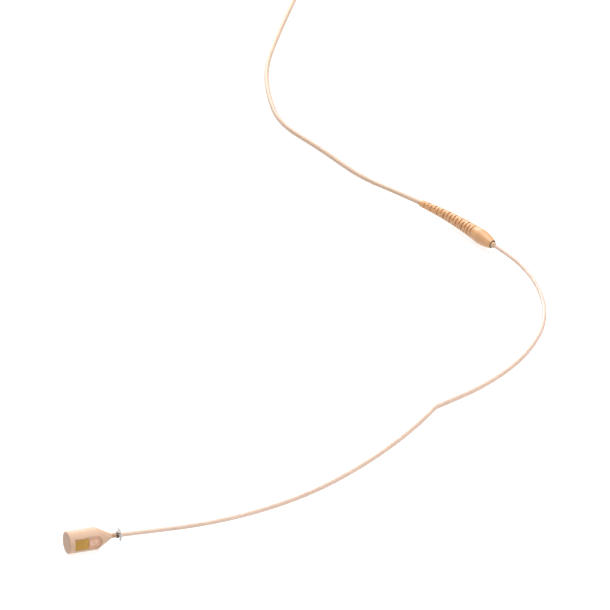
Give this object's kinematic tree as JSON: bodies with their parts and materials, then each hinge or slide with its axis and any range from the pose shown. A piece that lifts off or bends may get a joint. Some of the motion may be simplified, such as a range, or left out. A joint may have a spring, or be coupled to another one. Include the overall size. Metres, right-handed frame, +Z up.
{
  "type": "headset microphone",
  "caption": "Headset microphone with a side-address capsule on a formed wire boom, a slotted relief with a cable socket, and a thin cable that ends in a locking mini-jack plug.",
  "frame": {"origin": "middle of the box round the capsule, boom and relief, on the surface that the microphone lies on", "axes": "+Z up from the surface; +Y from the capsule towards the cable; the capsule's flat faces -Y"},
  "size_m": [0.1173, 0.3223, 0.0088],
  "materials": {
    "skin_paint": "matt skin-tone paint",
    "gold_mesh": "fine woven mesh, gold plated",
    "marking_inlay": "satin pink-beige inlay",
    "nickel": "bright nickel plating",
    "brass": "plain brass",
    "metal_film": "metallised film",
    "insulator": "white plastic",
    "board": "green laminate",
    "black_plastic": "black plastic",
    "neck_rubber": "brown rubber",
    "dark_rubber": "dark rubber",
    "clear_silicone": "milky clear silicone",
    "steel": "drawn steel tube",
    "boom_coat": "satin skin-tone coating",
    "copper": "tinned copper wire",
    "boom_ferrule": "satin skin-tone ferrule",
    "gold_contact": "gold plating",
    "relief_rubber": "moulded tan rubber",
    "cable_jacket": "satin skin-tone jacket",
    "tie_strap": "black hook-and-loop strap",
    "black_metal": "black anodised metal"
  },
  "bodies": {
    "cable": {"relief_boot": "relief_rubber", "socket_barrel": "brass", "socket_insulator": "insulator", "socket_contact": "gold_contact", "crimp_sleeve": "brass", "held_cable": "cable_jacket", "cable_tube": "cable_jacket", "cable_coil": "cable_jacket", "coil_tie": "tie_strap", "plug_lead": "cable_jacket", "plug_boot": "dark_rubber", "plug_shell": "black_metal", "sleeve_contact": "nickel", "ring_contact": "nickel", "tip_contact": "nickel", "plug_insulators": "black_plastic", "solder_tags": "brass", "cable_clamp": "nickel", "clamped_cable": "cable_jacket"},
    "seal": {"seal_ring": "dark_rubber"},
    "boom": {"front_cap": "skin_paint", "capsule_barrel": "skin_paint", "tail_cone": "skin_paint", "port_mesh": "gold_mesh", "rear_port_mesh": "gold_mesh", "marking_plate": "marking_inlay", "element_can": "nickel", "diaphragm_ring": "brass", "diaphragm": "metal_film", "spacer_ring": "insulator", "backplate": "brass", "backplate_holder": "insulator", "amplifier_board": "board", "amplifier_chip": "black_plastic", "neck_sleeve": "neck_rubber", "neck_grommet": "dark_rubber", "boom_tube": "steel", "boom_sheath": "boom_coat", "boom_wire": "copper", "boom_plug_body": "boom_ferrule", "boom_plug_insulator": "insulator", "boom_plug_pin": "gold_contact"},
    "drip_ring": {"drip_ring": "clear_silicone"},
    "lock": {"lock_ring": "nickel"}
  },
  "joints": [
    {"name": "boom_swivel", "type": "hinge", "parent": "cable", "child": "seal", "pos_m": [0.04073, 0.07234, 0.0027], "axis": [-0.7071, 0.7071, 0], "continuous": true},
    {"name": "boom_unplug", "type": "slide", "parent": "seal", "child": "boom", "axis": [0.7071, -0.7071, 0], "range_m": [0, 0.006]},
    {"name": "drip_ring_slide", "type": "slide", "parent": "boom", "child": "drip_ring", "axis": [0.9135, 0.4067, 0], "range_m": [0, 0.009]},
    {"name": "lock_ring_turn", "type": "hinge", "parent": "cable", "child": "lock", "pos_m": [0.0456, 0.229, 0.0042], "axis": [1, 0, 0], "continuous": true}
  ]
}
